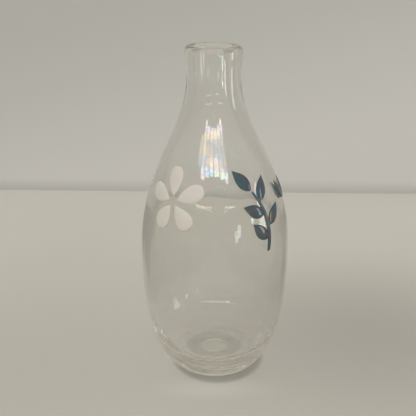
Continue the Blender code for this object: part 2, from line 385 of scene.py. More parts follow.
@dataclass(frozen=True)
class GlassFinish:
    """A glass: its colour, gloss and lustre. A subclass adds what only it has."""

    glass: Glass
    colour: Colour
    shade: Colour
    transmission: float
    roughness: float
    smudge_roughness: float
    film_thin: float
    film_thick: float
    film_index: float
    ripple_height: float
    cloud_scale: float = 120.0
    cloud_detail: float = 3.0
    film_scale: float = 90.0
    film_detail: float = 3.0
    film_flatness: float = 1.6
    film_swirl: float = 0.8
    film_range: Span = (0.3, 0.7)

    def build(self, groups: EffectGroups) -> Material:
        """Makes the material.

        Args:
            groups: The shared shader groups.

        Returns:
            The finished material.
        """
        material = bpy.data.materials.new(self.glass.value)
        material.use_nodes = True
        writer = GlassWriter(material.node_tree)
        self.dress_depth(writer, writer.add("ShaderNodeOutputMaterial", {"Surface": self.lit(writer)}))
        writer.dress("IOR", GLASS_INDEX)
        writer.dress("Transmission Weight", self.transmission)
        writer.dress("Thin Film IOR", self.film_index)
        self.dress_colour(writer)
        self.dress_roughness(writer, writer.grouped(groups.marks))
        writer.dress("Thin Film Thickness", self.film(writer))
        self.dress_relief(writer, writer.grouped(groups.ripple))
        return material

    def lit(self, writer: GlassWriter) -> NodeSocket:
        """The surface as light meets it: an opaque glass casts a full shadow."""
        return writer.shader.outputs["BSDF"]

    def dress_depth(self, writer: GlassWriter, output: Node) -> None:
        """Adds nothing: an opaque glass shows no depth."""

    def dress_colour(self, writer: GlassWriter) -> None:
        """Clouds the colour softly between its two shades."""
        cloud = writer.noise(writer.position, self.cloud_scale, self.cloud_detail)
        writer.dress("Base Color", writer.mixed(cloud, self.colour, self.shade))

    def dress_roughness(self, writer: GlassWriter, marks: NodeSocket) -> None:
        """Roughens the gloss where the mask of marks says that the glass was handled."""
        worse = self.smudge_roughness - self.roughness
        writer.dress("Roughness", writer.math("MULTIPLY_ADD", marks, worse, self.roughness))

    def film(self, writer: GlassWriter) -> NodeSocket:
        """Thickness of the lustre, in bands round the vase.

        Args:
            writer: Writer of the material's tree.

        Returns:
            The thickness in nanometres.
        """
        banded = writer.vector("MULTIPLY", writer.position, (1.0, 1.0, self.film_flatness))
        drift = writer.noise(banded, self.film_scale, self.film_detail, Distortion=self.film_swirl)
        return writer.ranged(drift, *self.film_range, self.film_thin, self.film_thick)

    def dress_relief(self, writer: GlassWriter, ripple: NodeSocket) -> None:
        """Bends the surface by the height of the drawn ripple."""
        inputs = {"Strength": 1.0, "Distance": self.ripple_height, "Height": ripple}
        writer.dress("Normal", writer.place("ShaderNodeBump", inputs))


@dataclass(frozen=True)
class ClearGlassFinish(GlassFinish):
    """Clear glass: it lets light through to the table, and its lustre lies on the inside only."""

    wall_clearness: float = 1.0
    heel_clearness: float = 0.84
    foot_clearness: float = 1.0
    underside_clearness: float = 0.86
    pontil_radii: Span = (0.0090, 0.0115)
    heel_front: Span = (-0.024, -0.008)
    heel_radii: Span = (0.0268, 0.0280)
    foot_radii: Span = (0.0200, 0.0228)
    foot_reach: float = 0.010
    # Painted shade: the glass is darkened round the belly, fading out below and above.
    painted_belly_shade: float = 0.940
    belly_foot: Span = (0.030, 0.060)
    belly_top: Span = (0.125, 0.175)
    # Painted shade: the lip's crown is darkened and browned, most at its back.
    painted_crown_shade: Colour = (0.84, 0.80, 0.72)
    crown_reach: Span = (0.0022, 0.0005)
    crown_back: Span = (0.002, 0.012)
    crown_front_share: float = 0.2
    depth_colour: Colour = (0.925, 0.910, 0.87)
    depth_density: float = 16.0
    ground_roughness: float = 0.35
    ground_reach: Span = (0.0008, 0.0030)
    pontil_edge: float = 0.0004
    film_foot: Span = (0.014, 0.030)

    def lit(self, writer: GlassWriter) -> NodeSocket:
        """Lets lamp light and the room's light through, less so where the glass is thick.

        Args:
            writer: Writer of the material's tree.

        Returns:
            The surface.
        """
        away = writer.off_axis()
        under = writer.ranged(away, *self.pontil_radii, self.wall_clearness, self.underside_clearness)
        foot = writer.ranged(away, *self.foot_radii, under, self.foot_clearness)
        heel = writer.ranged(writer.y, *self.heel_front, self.heel_clearness, self.foot_clearness)
        foot = writer.ranged(away, *self.heel_radii, foot, heel)
        clearness = writer.ranged(writer.height, 0.0, self.foot_reach, foot, self.wall_clearness)
        path = writer.add("ShaderNodeLightPath").outputs
        through = writer.math("MAXIMUM", path["Is Shadow Ray"], path["Is Diffuse Ray"])
        clear = writer.place("ShaderNodeBsdfTransparent", {"Color": clearness})
        return writer.place("ShaderNodeMixShader", {0: through, 1: super().lit(writer), 2: clear})

    def dress_depth(self, writer: GlassWriter, output: Node) -> None:
        """Darkens what is seen through a long way of glass, as at the neck's edges and in the floor."""
        inputs = {"Color": (*self.depth_colour, 1), "Density": self.depth_density}
        writer.feed(output.inputs["Volume"], writer.place("ShaderNodeVolumeAbsorption", inputs))

    def dress_colour(self, writer: GlassWriter) -> None:
        """Paints a faint shade round the belly and a browner shade on the lip's crown, most at its back.

        Args:
            writer: Writer of the material's tree.
        """
        super().dress_colour(writer)
        # Painted shade round the belly.
        belly = writer.times(writer.ranged(writer.height, *self.belly_foot),
                             writer.ranged(writer.height, *self.belly_top, 1.0, 0.0))
        belly = writer.ranged(belly, 0.0, 1.0, 1.0, self.painted_belly_shade)
        # Painted shade on the lip's crown, most at its back.
        low, high = (VASE_HEIGHT - reach for reach in self.crown_reach)
        crown = writer.times(writer.ranged(writer.height, low, high),
                             writer.ranged(writer.y, *self.crown_back, self.crown_front_share, 1.0))
        shaded = writer.scaled(writer.worn("Base Color"), belly)
        writer.dress("Base Color", writer.mixed(crown, shaded, self.painted_crown_shade))

    def dress_roughness(self, writer: GlassWriter, marks: NodeSocket) -> None:
        """Adds the ground underside, which the polished pontil mark in its middle interrupts.

        Args:
            writer: Writer of the material's tree.
            marks: Mask of the handling marks.
        """
        super().dress_roughness(writer, marks)
        low = writer.ranged(writer.height, *self.ground_reach, self.ground_roughness, 0.0)
        ring = writer.ranged(writer.off_axis(), PONTIL_RADIUS - self.pontil_edge,
                             PONTIL_RADIUS + self.pontil_edge)
        ground = writer.math("MAXIMUM", writer.worn("Roughness"), writer.times(low, ring))
        writer.dress("Roughness", ground)

    def film(self, writer: GlassWriter) -> NodeSocket:
        """Thickness of the lustre, none on the outside and none on the floor.

        Args:
            writer: Writer of the material's tree.

        Returns:
            The thickness in nanometres.
        """
        inside = writer.place("ShaderNodeAttribute", {}, "Fac", attribute_name="inside")
        above = writer.ranged(writer.height, *self.film_foot)
        return writer.times(super().film(writer), writer.times(inside, above))


@dataclass
class Vessel:
    """The blown vessel: one skin of glass from the floor's inside over the lip to the pontil.

    The hand leaves a wave in it, which is still near the table and the axis and which the skin offset makes
    differ inside, a lean and a shift of the bore towards the lip, and a crease in the lip's inside.
    """

    foot_radius: float = 0.027
    belly_height: float = 0.078
    shoulder_rise: float = 0.141
    shoulder_fullness: float = 1.5
    neck_radius: float = 0.0183
    lip_bead: float = 0.0004
    lip_bead_reach: float = 0.012
    lip_squareness: float = 2.6
    belly_wall: float = 0.0032
    neck_wall: float = 0.0065
    floor_thickness: float = 0.012
    floor_flat_radius: float = 0.018
    heel_squareness: float = 3.0
    foot_ring_width: float = 0.004
    push_up_rise: float = 0.0010
    pontil_radius: float = PONTIL_RADIUS
    pontil_depth: float = 0.0016
    wave_height: float = 0.0009
    wave_scale: float = 42.0
    wave_draw: float = 0.45
    wave_seed: float = 3.0
    skin_offset: float = 5.0
    still_foot: float = 0.02
    still_axis: Span = (0.002, 0.012)
    lean: float = -0.0013
    bore_shift: float = -0.0010
    lean_reach: float = 0.12
    crease_depth: float = 0.0006
    crease_turn: float = math.radians(31)
    crease_width: float = math.radians(7)
    crease_reach: float = 0.009
    crease_drop: float = -0.6
    turn_steps: int = 200
    floor_rings: int = 6
    body_rings: int = 44
    shoulder_rings: int = 70
    lip_rings: int = 18
    underside_rings: int = 8

    @property
    def lip_foot(self) -> float:
        """Height where the lip starts to round."""
        return VASE_HEIGHT - self.neck_wall / 2

    def outer_radius(self, height: float) -> float:
        """Outside radius: quarter ellipse, S-curve and the lip's bead.

        Args:
            height: Height above the table.

        Returns:
            The radius.
        """
        if height < self.belly_height:
            drop = (self.belly_height - height) / self.belly_height
            return self.foot_radius + (BELLY_RADIUS - self.foot_radius) * math.sqrt(max(1 - drop**2, 0))
        share = min((height - self.belly_height) / self.shoulder_rise, 1)
        sweep = (1 + math.cos(math.pi * share**self.shoulder_fullness)) / 2
        radius = self.neck_radius + (BELLY_RADIUS - self.neck_radius) * sweep
        below_lip = (self.lip_foot - height) / self.lip_bead_reach
        if below_lip < 1:
            radius += self.lip_bead * (1 + math.cos(math.pi * max(below_lip, 0))) / 2
        return radius

    def wall(self, height: float) -> float:
        """Thickness of the glass above the belly."""
        share = min(max((height - self.belly_height) / self.shoulder_rise, 0), 1)
        return self.belly_wall + (self.neck_wall - self.belly_wall) * share**self.shoulder_fullness

    def upper_heights(self) -> list[float]:
        """Heights from the belly to the lip's foot, both ends included."""
        step = (self.lip_foot - self.belly_height) / self.shoulder_rings
        return [self.belly_height + step * ring for ring in range(self.shoulder_rings + 1)]

    def quarter(self) -> list[float]:
        """Angles from 0 up to a right angle, which is left out."""
        return [math.pi / 2 * ring / self.body_rings for ring in range(self.body_rings)]

    def inside(self) -> list[Span]:
        """Inner profile, from the middle of the floor to the lip's foot.

        Returns:
            Its points as (radius, height).
        """
        reach = BELLY_RADIUS - self.belly_wall - self.floor_flat_radius
        well = self.belly_height - self.floor_thickness
        power = 2 / self.heel_squareness
        points = [(self.floor_flat_radius * ring / self.floor_rings, self.floor_thickness)
                  for ring in range(self.floor_rings)]
        for turn in self.quarter():
            radius = self.floor_flat_radius + reach * math.sin(turn) ** power
            points.append((radius, self.belly_height - well * math.cos(turn) ** power))
        for height in self.upper_heights():
            below_bead = min(height, self.lip_foot - self.lip_bead_reach)
            points.append((self.outer_radius(below_bead) - self.wall(height), height))
        return points

    def lip(self) -> list[Span]:
        """Rounded lip from the bore to the outside, both ends left out.

        Returns:
            Its points as (radius, height).
        """
        bore = self.neck_radius - self.neck_wall
        rim = self.outer_radius(self.lip_foot)
        power = 2 / self.lip_squareness
        points = []
        for ring in range(1, self.lip_rings):
            turn = math.pi * ring / self.lip_rings
            across = math.copysign(abs(math.cos(turn)) ** power, math.cos(turn))
            radius = (bore + rim) / 2 - (rim - bore) / 2 * across
            points.append((radius, self.lip_foot + (VASE_HEIGHT - self.lip_foot) * math.sin(turn) ** power))
        return points

    def outside(self) -> list[Span]:
        """Outer profile from the lip's foot down to the foot ring and under it to the axis.

        Returns:
            Its points as (radius, height).
        """
        points = [(self.outer_radius(height), height) for height in reversed(self.upper_heights())]
        for turn in reversed(self.quarter()):
            radius = self.foot_radius + (BELLY_RADIUS - self.foot_radius) * math.sin(turn)
            points.append((radius, self.belly_height * (1 - math.cos(turn))))
        ring_inside = self.foot_radius - self.foot_ring_width
        for step in range(self.underside_rings + 1):
            share = step / self.underside_rings
            radius = ring_inside + (self.pontil_radius - ring_inside) * share
            points.append((radius, self.push_up_rise * math.sin(math.pi / 2 * share)))
        for step in reversed(range(self.underside_rings)):
            share = step / self.underside_rings
            hollow = self.pontil_depth * (1 - share**2)
            points.append((self.pontil_radius * share, self.push_up_rise + hollow))
        return points

    def profile_mesh(self) -> Mesh:
        """Profile as a chain of points.

        Returns:
            The chain, with an attribute that says how far inside the vessel each point is.
        """
        inside, lip, outside = self.inside(), self.lip(), self.outside()
        points = [(radius, 0, height) for radius, height in inside + lip + outside]
        shares = [1.0] * len(inside) + [1 - ring / self.lip_rings for ring in range(1, self.lip_rings)]
        shares += [0.0] * len(outside)
        mesh = bpy.data.meshes.new("vessel_profile")
        mesh.from_pydata(points, [(index, index + 1) for index in range(len(points) - 1)], [])
        mesh.attributes.new("inside", "FLOAT", "POINT").data.foreach_set("value", shares)
        return mesh

    def numbers(self) -> dict[str, float]:
        """Plain numbers of the tree.

        Returns:
            Each value by the name of its input.
        """
        return {"Wave Height": self.wave_height, "Wave Scale": self.wave_scale, "Seed": self.wave_seed,
                "Lean": self.lean, "Bore Shift": self.bore_shift, "Crease Depth": self.crease_depth,
                "Crease Turn": self.crease_turn, "Crease Width": self.crease_width, "Height": VASE_HEIGHT}

    def tree(self) -> NodeTree:
        """Turns a profile into a skin with the hand's unevenness in it.

        Returns:
            The Geometry Nodes tree.
        """
        others = {"Turn Steps": "NodeSocketInt", "Profile Points": "NodeSocketInt",
                  "Glass": "NodeSocketMaterial"}
        writer, given = new_geometry_tree("turned_vessel", self.numbers(), others)
        chain, rings, top = given["Geometry"], given["Profile Points"], given["Height"]
        grid = writer.place("GeometryNodeMeshGrid", {"Size X": 1.0, "Size Y": 1.0, "Vertices Y": rings,
                                                     "Vertices X": writer.plus(given["Turn Steps"], 1)})
        x, y, _ = writer.split(writer.place("GeometryNodeInputPosition", {}))
        turn = writer.times(writer.plus(x, 0.5), math.tau)
        index = writer.math("ROUND", writer.times(writer.plus(y, 0.5), writer.minus(rings, 1)))
        spot = writer.place("GeometryNodeInputPosition", {})
        spot = writer.place("GeometryNodeSampleIndex", {"Geometry": chain, "Value": spot, "Index": index},
                            data_type="FLOAT_VECTOR")
        inside = writer.place("GeometryNodeInputNamedAttribute", {"Name": "inside"}, "Attribute",
                              data_type="FLOAT")
        inside = writer.place("GeometryNodeSampleIndex", {"Geometry": chain, "Value": inside, "Index": index},
                              data_type="FLOAT")
        radius, _, height = writer.split(spot)
        across = writer.outward(turn)
        skin = writer.vector("ADD", writer.scaled(across, radius), writer.joined(0.0, 0.0, height))
        layer = writer.math("MULTIPLY_ADD", inside, self.skin_offset, given["Seed"])
        drawn = writer.vector("MULTIPLY", skin, (1.0, 1.0, self.wave_draw))
        noise = writer.place("ShaderNodeTexNoise", {"Vector": drawn, "W": layer, "Detail": 1.0,
                                                    "Scale": given["Wave Scale"]}, "Fac",
                             noise_dimensions="4D")
        wave = writer.times(writer.minus(noise, 0.5), given["Wave Height"])
        wave = writer.times(wave, writer.times(writer.ranged(height, 0.0, self.still_foot),
                                               writer.ranged(radius, *self.still_axis)))
        neck = writer.ranged(height, writer.minus(top, self.lean_reach), top)
        bored = writer.times(inside, given["Bore Shift"])
        shift = writer.times(neck, writer.plus(bored, given["Lean"]))
        lip_top = writer.ranged(height, writer.minus(top, self.crease_reach), top)
        off_crease = writer.math("DIVIDE", writer.minus(turn, given["Crease Turn"]), given["Crease Width"])
        bell = writer.math("EXPONENT", writer.times(writer.times(off_crease, off_crease), -1.0))
        crease = writer.times(writer.times(bell, lip_top), given["Crease Depth"])
        pushed = writer.plus(wave, writer.times(crease, inside))
        skin = writer.vector("ADD", skin, writer.scaled(across, pushed))
        skin = writer.vector("ADD", skin, writer.joined(shift, 0.0, writer.times(crease, self.crease_drop)))
        shape = writer.place("GeometryNodeSetPosition", {"Geometry": grid, "Position": skin})
        shape = writer.place("GeometryNodeFlipFaces", {"Mesh": shape})
        inputs = {"Geometry": shape, "Name": "inside", "Value": inside}
        shape = writer.place("GeometryNodeStoreNamedAttribute", inputs, data_type="FLOAT")
        end_geometry_tree(writer, shape, given["Glass"])
        return writer.tree

    def build(self, glass: Material) -> Object:
        """Makes the vessel's skin.

        Args:
            glass: Material of the vessel.

        Returns:
            The vessel.
        """
        profile = self.profile_mesh()
        values = {"Turn Steps": self.turn_steps, "Profile Points": len(profile.vertices), "Glass": glass}
        return grown("blown_vessel", profile, self.tree(), {**self.numbers(), **values})


@dataclass(frozen=True)
class Outline:
    """Outline of a flat glass piece: its half width follows s**foot_power * (1 - s)**tip_power."""

    length: float
    width: float
    foot_power: float
    tip_power: float
    bow: float = 0.0

    @property
    def fullness(self) -> float:
        """Factor that brings the widest place to the full width."""
        widest = self.foot_power / (self.foot_power + self.tip_power)
        return 1 / (widest**self.foot_power * (1 - widest)**self.tip_power)


@dataclass(frozen=True)
class Station:
    """Place of a motif on the wall: angle from the front, height and tilt in the wall's plane."""

    turn: float
    height: float
    tilt: float


@dataclass(frozen=True)
class Cut:
    """A piece of a motif: its name, the node it stands for, its outline, foot and turn."""

    name: str
    node: str
    outline: Outline
    foot: Sequence[float]
    turn: float


@dataclass
class FusedTrim:
    """Makes pieces of flat glass that are fused to the wall of a vessel."""

    wall: Object
    grid_along: int = 40
    grid_across: int = 21
    dome: float = 0.0009
    sink: float = 0.0004

    def __post_init__(self) -> None:
        """Builds the tree once, for pieces on one wall."""
        self.tree = self.build_tree()

    def build_tree(self) -> NodeTree:
        """Lays a domed outline on the wall by casting each of its points at the wall.

        Returns:
            The Geometry Nodes tree.
        """
        numbers = ("Length", "Width", "Foot Power", "Tip Power", "Fullness", "Bow", "Dome", "Sink", "Turn",
                   "Tilt", "Facing", "Station Height")
        others = {"Foot": "NodeSocketVector", "Wall": "NodeSocketObject", "Glass": "NodeSocketMaterial"}
        writer, given = new_geometry_tree("fused_piece", numbers, others)
        grid = writer.place("GeometryNodeMeshGrid", {"Size X": 1.0, "Size Y": 1.0,
                                                     "Vertices X": self.grid_along,
                                                     "Vertices Y": self.grid_across})
        x, y, _ = writer.split(writer.place("GeometryNodeInputPosition", {}))
        along, across = writer.plus(x, 0.5), writer.times(y, math.pi)
        ends = writer.times(writer.math("POWER", along, given["Foot Power"]),
                            writer.math("POWER", writer.minus(1.0, along), given["Tip Power"]))
        share = writer.times(ends, given["Fullness"])
        half = writer.times(share, writer.times(given["Width"], 0.5))
        doubled = writer.minus(writer.times(along, 2.0), 1.0)
        bowed = writer.times(writer.minus(1.0, writer.times(doubled, doubled)), given["Bow"])
        side = writer.plus(writer.times(half, writer.math("SINE", across)), bowed)
        plan = writer.joined(side, writer.times(along, given["Length"]), 0.0)
        plan = writer.vector("ADD", writer.turned(plan, given["Turn"]), given["Foot"])
        x, y, _ = writer.split(writer.turned(plan, given["Tilt"]))
        facing = writer.outward(given["Facing"])
        sideways = writer.joined(writer.math("COSINE", given["Facing"]),
                                 writer.math("SINE", given["Facing"]), 0.0)
        level = writer.joined(0.0, 0.0, writer.plus(y, given["Station Height"]))
        start = writer.vector("ADD", writer.scaled(sideways, x), level)
        start = writer.vector("ADD", start, writer.scaled(facing, 2 * BELLY_RADIUS))
        wall = writer.place("GeometryNodeObjectInfo", {"Object": given["Wall"]}, "Geometry")
        inputs = {"Target Geometry": wall, "Source Position": start,
                  "Ray Direction": writer.scaled(facing, -1.0), "Ray Length": 1.0}
        hit = writer.add("GeometryNodeRaycast", inputs).outputs
        lift = writer.times(writer.math("COSINE", across), writer.math("POWER", share, 0.5))
        shells = []
        for size, sign in (("Dome", 1.0), ("Sink", -1.0)):
            rise = writer.scaled(hit["Hit Normal"], writer.times(lift, writer.times(given[size], sign)))
            spot = writer.vector("ADD", hit["Hit Position"], rise)
            shells.append(writer.place("GeometryNodeSetPosition", {"Geometry": grid, "Position": spot}))
        shells[0] = writer.place("GeometryNodeFlipFaces", {"Mesh": shells[0]})
        both = writer.add("GeometryNodeJoinGeometry")
        for shell in shells:
            writer.feed(both.inputs[0], shell)
        end_geometry_tree(writer, both.outputs[0], given["Glass"])
        return writer.tree

    def lay(self, cut: Cut, station: Station, glass: Material) -> Object:
        """Lays one piece on the wall.

        Args:
            cut: The piece, with its foot and turn in the motif's plane.
            station: The motif's place on the wall.
            glass: The piece's material.

        Returns:
            The finished piece.
        """
        outline = cut.outline
        values = {"Length": outline.length, "Width": outline.width, "Foot Power": outline.foot_power,
                  "Tip Power": outline.tip_power, "Fullness": outline.fullness, "Bow": outline.bow,
                  "Dome": self.dome, "Sink": self.sink, "Foot": (*cut.foot, 0.0), "Turn": cut.turn,
                  "Tilt": station.tilt, "Facing": station.turn, "Station Height": station.height,
                  "Wall": self.wall, "Glass": glass}
        return grown(cut.name, bpy.data.meshes.new(cut.name + "_seed"), self.tree, values)


@dataclass
class Motif:
    """Some cuts of one glass round one station. A subclass says which."""

    station: Station
    glass: Glass

    def cuts(self) -> Iterable[Cut]:
        """Yields the cuts in the order in which they are laid."""
        raise NotImplementedError

    def build(self, trim: FusedTrim, glass: Material) -> None:
        for cut in self.cuts():
            declare(trim.lay(cut, self.station, glass), cut.node, self.glass)


@dataclass
class Blossom(Motif):
    """White blossom: petals round an open eye."""

    station: Station = Station(turn=math.radians(-38), height=0.146, tilt=math.radians(8))
    glass: Glass = Glass.WHITE
    petals: int = 5
    eye_radius: float = 0.0030
    outline: Outline = Outline(length=0.0185, width=0.0115, foot_power=0.95, tip_power=0.5)

    def cuts(self) -> Iterable[Cut]:
        """Petals by turns round the eye.

        Returns:
            The petals, one by one.
        """
        for index in range(self.petals):
            turn = math.tau * index / self.petals
            foot = (-self.eye_radius * math.sin(turn), self.eye_radius * math.cos(turn))
            yield Cut(f"white_petal_{index + 1}", f"blossom_petal_{index + 1}", self.outline, foot, turn)


@dataclass
class Sprig(Motif):
    """Dark sprig: a bowed stem with leaves by turns and one leaf at its tip."""

    station: Station = Station(turn=math.radians(38), height=0.132, tilt=math.radians(10))
    glass: Glass = Glass.DARK
    stem: Outline = Outline(length=0.042, width=0.0032, foot_power=0.10, tip_power=0.32, bow=0.005)
    leaf: Outline = Outline(length=0.0165, width=0.0085, foot_power=0.85, tip_power=1.15)
    leaves: int = 5
    spread: float = math.radians(48)
    clearance: float = 0.0006

    def stem_point(self, share: float) -> tuple[Vector, Vector]:
        """Centre line of the stem.

        Args:
            share: Share of the stem's length.

        Returns:
            The point there and the stem's direction.
        """
        centre = Vector((self.stem.bow * (1 - (2 * share - 1) ** 2), self.stem.length * (share - 0.5)))
        slope = -4 * self.stem.bow * (2 * share - 1) / self.stem.length
        return centre, Vector((slope, 1)).normalized()

    def leaf_seat(self, index: int) -> tuple[Vector, float]:
        """Place of a leaf in the motif's plane. The last leaf sits at the tip.

        Args:
            index: Number of the leaf, from 0.

        Returns:
            The leaf's foot and turn.
        """
        if index == self.leaves - 1:
            centre, along = self.stem_point(1)
            return centre + along * self.clearance, math.atan2(-along.x, along.y)
        share = (index + 1) / self.leaves
        side = 1 if index % 2 else -1
        centre, along = self.stem_point(share)
        across = Vector((along.y, -along.x)) * side
        half = self.stem.width / 2 * (1 - share / 2)
        return centre + across * half, math.atan2(-along.x, along.y) - side * self.spread

    def cuts(self) -> Iterable[Cut]:
        """Stem and leaves.

        Returns:
            The stem, then the leaves one by one.
        """
        yield Cut("dark_stem", "sprig_stem", self.stem, (0.0, -self.stem.length / 2), 0.0)
        for index in range(self.leaves):
            yield Cut(f"dark_leaf_{index + 1}", f"sprig_leaf_{index + 1}", self.leaf, *self.leaf_seat(index))


@dataclass
class LeafPair(Motif):
    """Two dark leaves that spread from one point."""

    station: Station = Station(turn=math.radians(80), height=0.138, tilt=math.radians(-8))
    glass: Glass = Glass.DARK
    leaf: Outline = Outline(length=0.0170, width=0.0070, foot_power=0.85, tip_power=1.15)
    spread: float = math.radians(70)
    clearance: float = 0.0006

    def cuts(self) -> Iterable[Cut]:
        """Leaves on both sides of the point.

        Returns:
            The leaves, one by one.
        """
        for index, side in enumerate((-1, 1)):
            yield Cut(f"dark_pair_leaf_{index + 1}", f"pair_leaf_{index + 1}", self.leaf,
                      (side * self.clearance, 0.0), -side * self.spread / 2)


@dataclass(frozen=True)
class SoftBox:
    """A rectangular lamp that faces the vase, placed by its direction from it.

    Matt surfaces get its light if it lights. What mirrors it shows it if it shines, and what is seen through
    glass shows it if it passes.
    """

    name: str
    turn: float
    elevation: float
    distance: float
    width: float
    height: float
    radiance: float
    colour: Colour = (1.0, 1.0, 1.0)
    lights: bool = False
    shines: bool = True
    passes: bool = True

    def build(self, target: Vector) -> None:
        """Hangs the lamp.

        Args:
            target: Point that it faces and from which its distance counts.
        """
        turn, elevation = math.radians(self.turn), math.radians(self.elevation)
        level = math.cos(elevation)
        towards = Vector((math.sin(turn) * level, -math.cos(turn) * level, math.sin(elevation)))
        light = bpy.data.lights.new(self.name, "AREA")
        light.shape = "RECTANGLE"
        light.size = self.width
        light.size_y = self.height
        light.color = self.colour
        light.energy = self.radiance * math.pi * self.width * self.height
        lamp = put(self.name, light)
        lamp.location = target + towards * self.distance
        lamp.rotation_euler = towards.to_track_quat("Z", "Y").to_euler()
        lamp.visible_camera = False
        lamp.visible_diffuse = self.lights
        lamp.visible_glossy = self.shines
        lamp.visible_transmission = self.passes


@dataclass(frozen=True)
class StripedPanel:
    """Rows of bright strips with shaded ones between, and a wing at the left, high in front of the vase.

    Only light that comes back from inside the glass shows them. A row gives its lower and upper edge and the
    radiance of its bright and its shaded strips, and the wing its left and right edge and its radiance.
    """

    turn: float = 1.0
    distance: float = 1.5
    half_width: float = 0.84
    strips: int = 6
    strip_share: float = 0.70
    rows: tuple[tuple[float, float, float, float], ...] = (
        (1.050, 1.160, 8.4, 2.8), (1.160, 1.200, 4.4, 2.0), (1.200, 1.330, 2.5, 1.4))
    sag: float = 0.045
    wing: tuple[float, float, float] = (-1.40, -0.84, 3.0)
    wing_heights: Span = (1.25, 1.47)

    def box(self, name: str, aside: float, low: float, high: float, width: float, radiance: float) -> SoftBox:
        """One lamp of the panel.

        Args:
            name: Name of the lamp.
            aside: Its place across the panel, from the middle.
            low: Height of its lower edge.
            high: Height of its upper edge.
            width: Its width.
            radiance: Its radiance.

        Returns:
            The lamp.
        """
        level = math.hypot(self.distance, aside)
        elevation = math.atan2((low + high) / 2, level)
        height = (high - low) * math.cos(elevation)
        turn = self.turn + math.degrees(math.atan2(aside, self.distance))
        return SoftBox(name, turn, math.degrees(elevation), level / math.cos(elevation), width, height,
                       radiance, shines=False)

    def boxes(self) -> Iterable[SoftBox]:
        """Lamps of the panel. The lowest row's foot sags to the sides.

        Returns:
            The wing, then the strips of each row, one by one.
        """
        left, right, radiance = self.wing
        yield self.box("left_wing", (left + right) / 2, *self.wing_heights, right - left, radiance)
        spacing = 2 * self.half_width / (self.strips - 1)
        strip, gap = spacing * self.strip_share, spacing * (1 - self.strip_share)
        for row, (low, high, bright, shaded) in enumerate(self.rows, 1):
            for index in range(self.strips):
                aside = spacing * index - self.half_width
                foot = low - self.sag * aside**2 if row == 1 else low
                yield self.box(f"bright_strip_{row}_{index + 1}", aside, foot, high, strip, bright)
                if index:
                    between = aside - spacing / 2
                    yield self.box(f"shaded_strip_{row}_{index}", between, foot, high, gap, shaded)


@dataclass(frozen=True)
class PaintedLightSpot:
    """A painted shadow or painted pool of light in a paint: darker where its shade is below 1, paler above.

    Its shade is even over the core, a share of its reach, and fades from there. Where it isn't there through
    glass, rays that the glass bends or mirrors pass it over.
    """

    place: tuple[float, float, float]
    reach: tuple[float, float, float]
    shade: float
    core: float = 0.0
    through_glass: bool = True


@dataclass(frozen=True)
class StudioPaint:
    """Matt pale paint with painted light: a drift of colour, shadows and pools of light, and a shaded foot.

    Its colour drifts from one edge to the other as painted light and shade. The glass bends and mirrors the
    view to the sides. There it meets a painted grey flag on each side, a painted shade which draws the
    glass's edges and which the camera never sees directly.
    """

    name: str
    low_colour: Colour
    high_colour: Colour
    drift: tuple[float, float, float]
    drift_low: float
    drift_high: float
    painted_light_spots: tuple[PaintedLightSpot, ...] = ()
    foot_shade: float = 1.0
    foot_reach: float = 0.020
    open_back: bool = False
    painted_flag_colour: Colour = (0.41, 0.39, 0.345)
    flag_inner: Span = (0.10, 0.17)
    flag_outer: Span = (0.25, 1.00)
    roughness: float = 0.85
    gloss: float = 0.2

    def build(self) -> Material:
        """Makes the material. An open back can be looked through from behind.

        Returns:
            The finished material.
        """
        material = bpy.data.materials.new(self.name)
        material.use_nodes = True
        writer = TreeWriter(material.node_tree)
        shader = writer.add("ShaderNodeBsdfPrincipled",
                            {"Roughness": self.roughness, "Specular IOR Level": self.gloss})
        position = writer.add("ShaderNodeTexCoord").outputs["Object"]
        # Painted light and shade: the colour drifts from low_colour to high_colour along the drift.
        along = writer.place("ShaderNodeVectorMath", {0: position, 1: self.drift}, "Value",
                             operation="DOT_PRODUCT")
        pale = writer.mixed(writer.ranged(along, self.drift_low, self.drift_high),
                            self.low_colour, self.high_colour)
        x, _, height = writer.split(position)
        # Painted shade: a grey flag to each side, shown only to rays that the glass bends or mirrors.
        aside = writer.math("ABSOLUTE", x)
        flag = writer.times(writer.ranged(aside, *self.flag_inner),
                            writer.ranged(aside, *self.flag_outer, 1.0, 0.0))
        path = writer.add("ShaderNodeLightPath").outputs
        bent = writer.math("MAXIMUM", path["Is Transmission Ray"], path["Is Glossy Ray"])
        bent = writer.math("MAXIMUM", writer.minus(bent, path["Is Diffuse Ray"]), 0.0)
        colour = writer.mixed(writer.times(flag, bent), pale, self.painted_flag_colour)
        # Painted shade along the foot, fading out at foot_reach.
        shade = writer.ranged(height, 0.0, self.foot_reach, self.foot_shade, 1.0)
        # Painted shadows and pools of light.
        for spot in self.painted_light_spots:
            away = writer.vector("DIVIDE", writer.vector("SUBTRACT", position, spot.place), spot.reach)
            depth = spot.shade if spot.through_glass else writer.ranged(bent, 0.0, 1.0, spot.shade, 1.0)
            shade = writer.times(shade, writer.ranged(writer.length(away), spot.core, 1.0, depth, 1.0))
        writer.feed(shader.inputs["Base Color"], writer.scaled(colour, shade))
        surface = shader.outputs["BSDF"]
        if self.open_back:
            clear = writer.place("ShaderNodeBsdfTransparent", {})
            behind = writer.add("ShaderNodeNewGeometry").outputs["Backfacing"]
            surface = writer.place("ShaderNodeMixShader", {0: behind, 1: surface, 2: clear})
        writer.add("ShaderNodeOutputMaterial", {"Surface": surface})
        return material


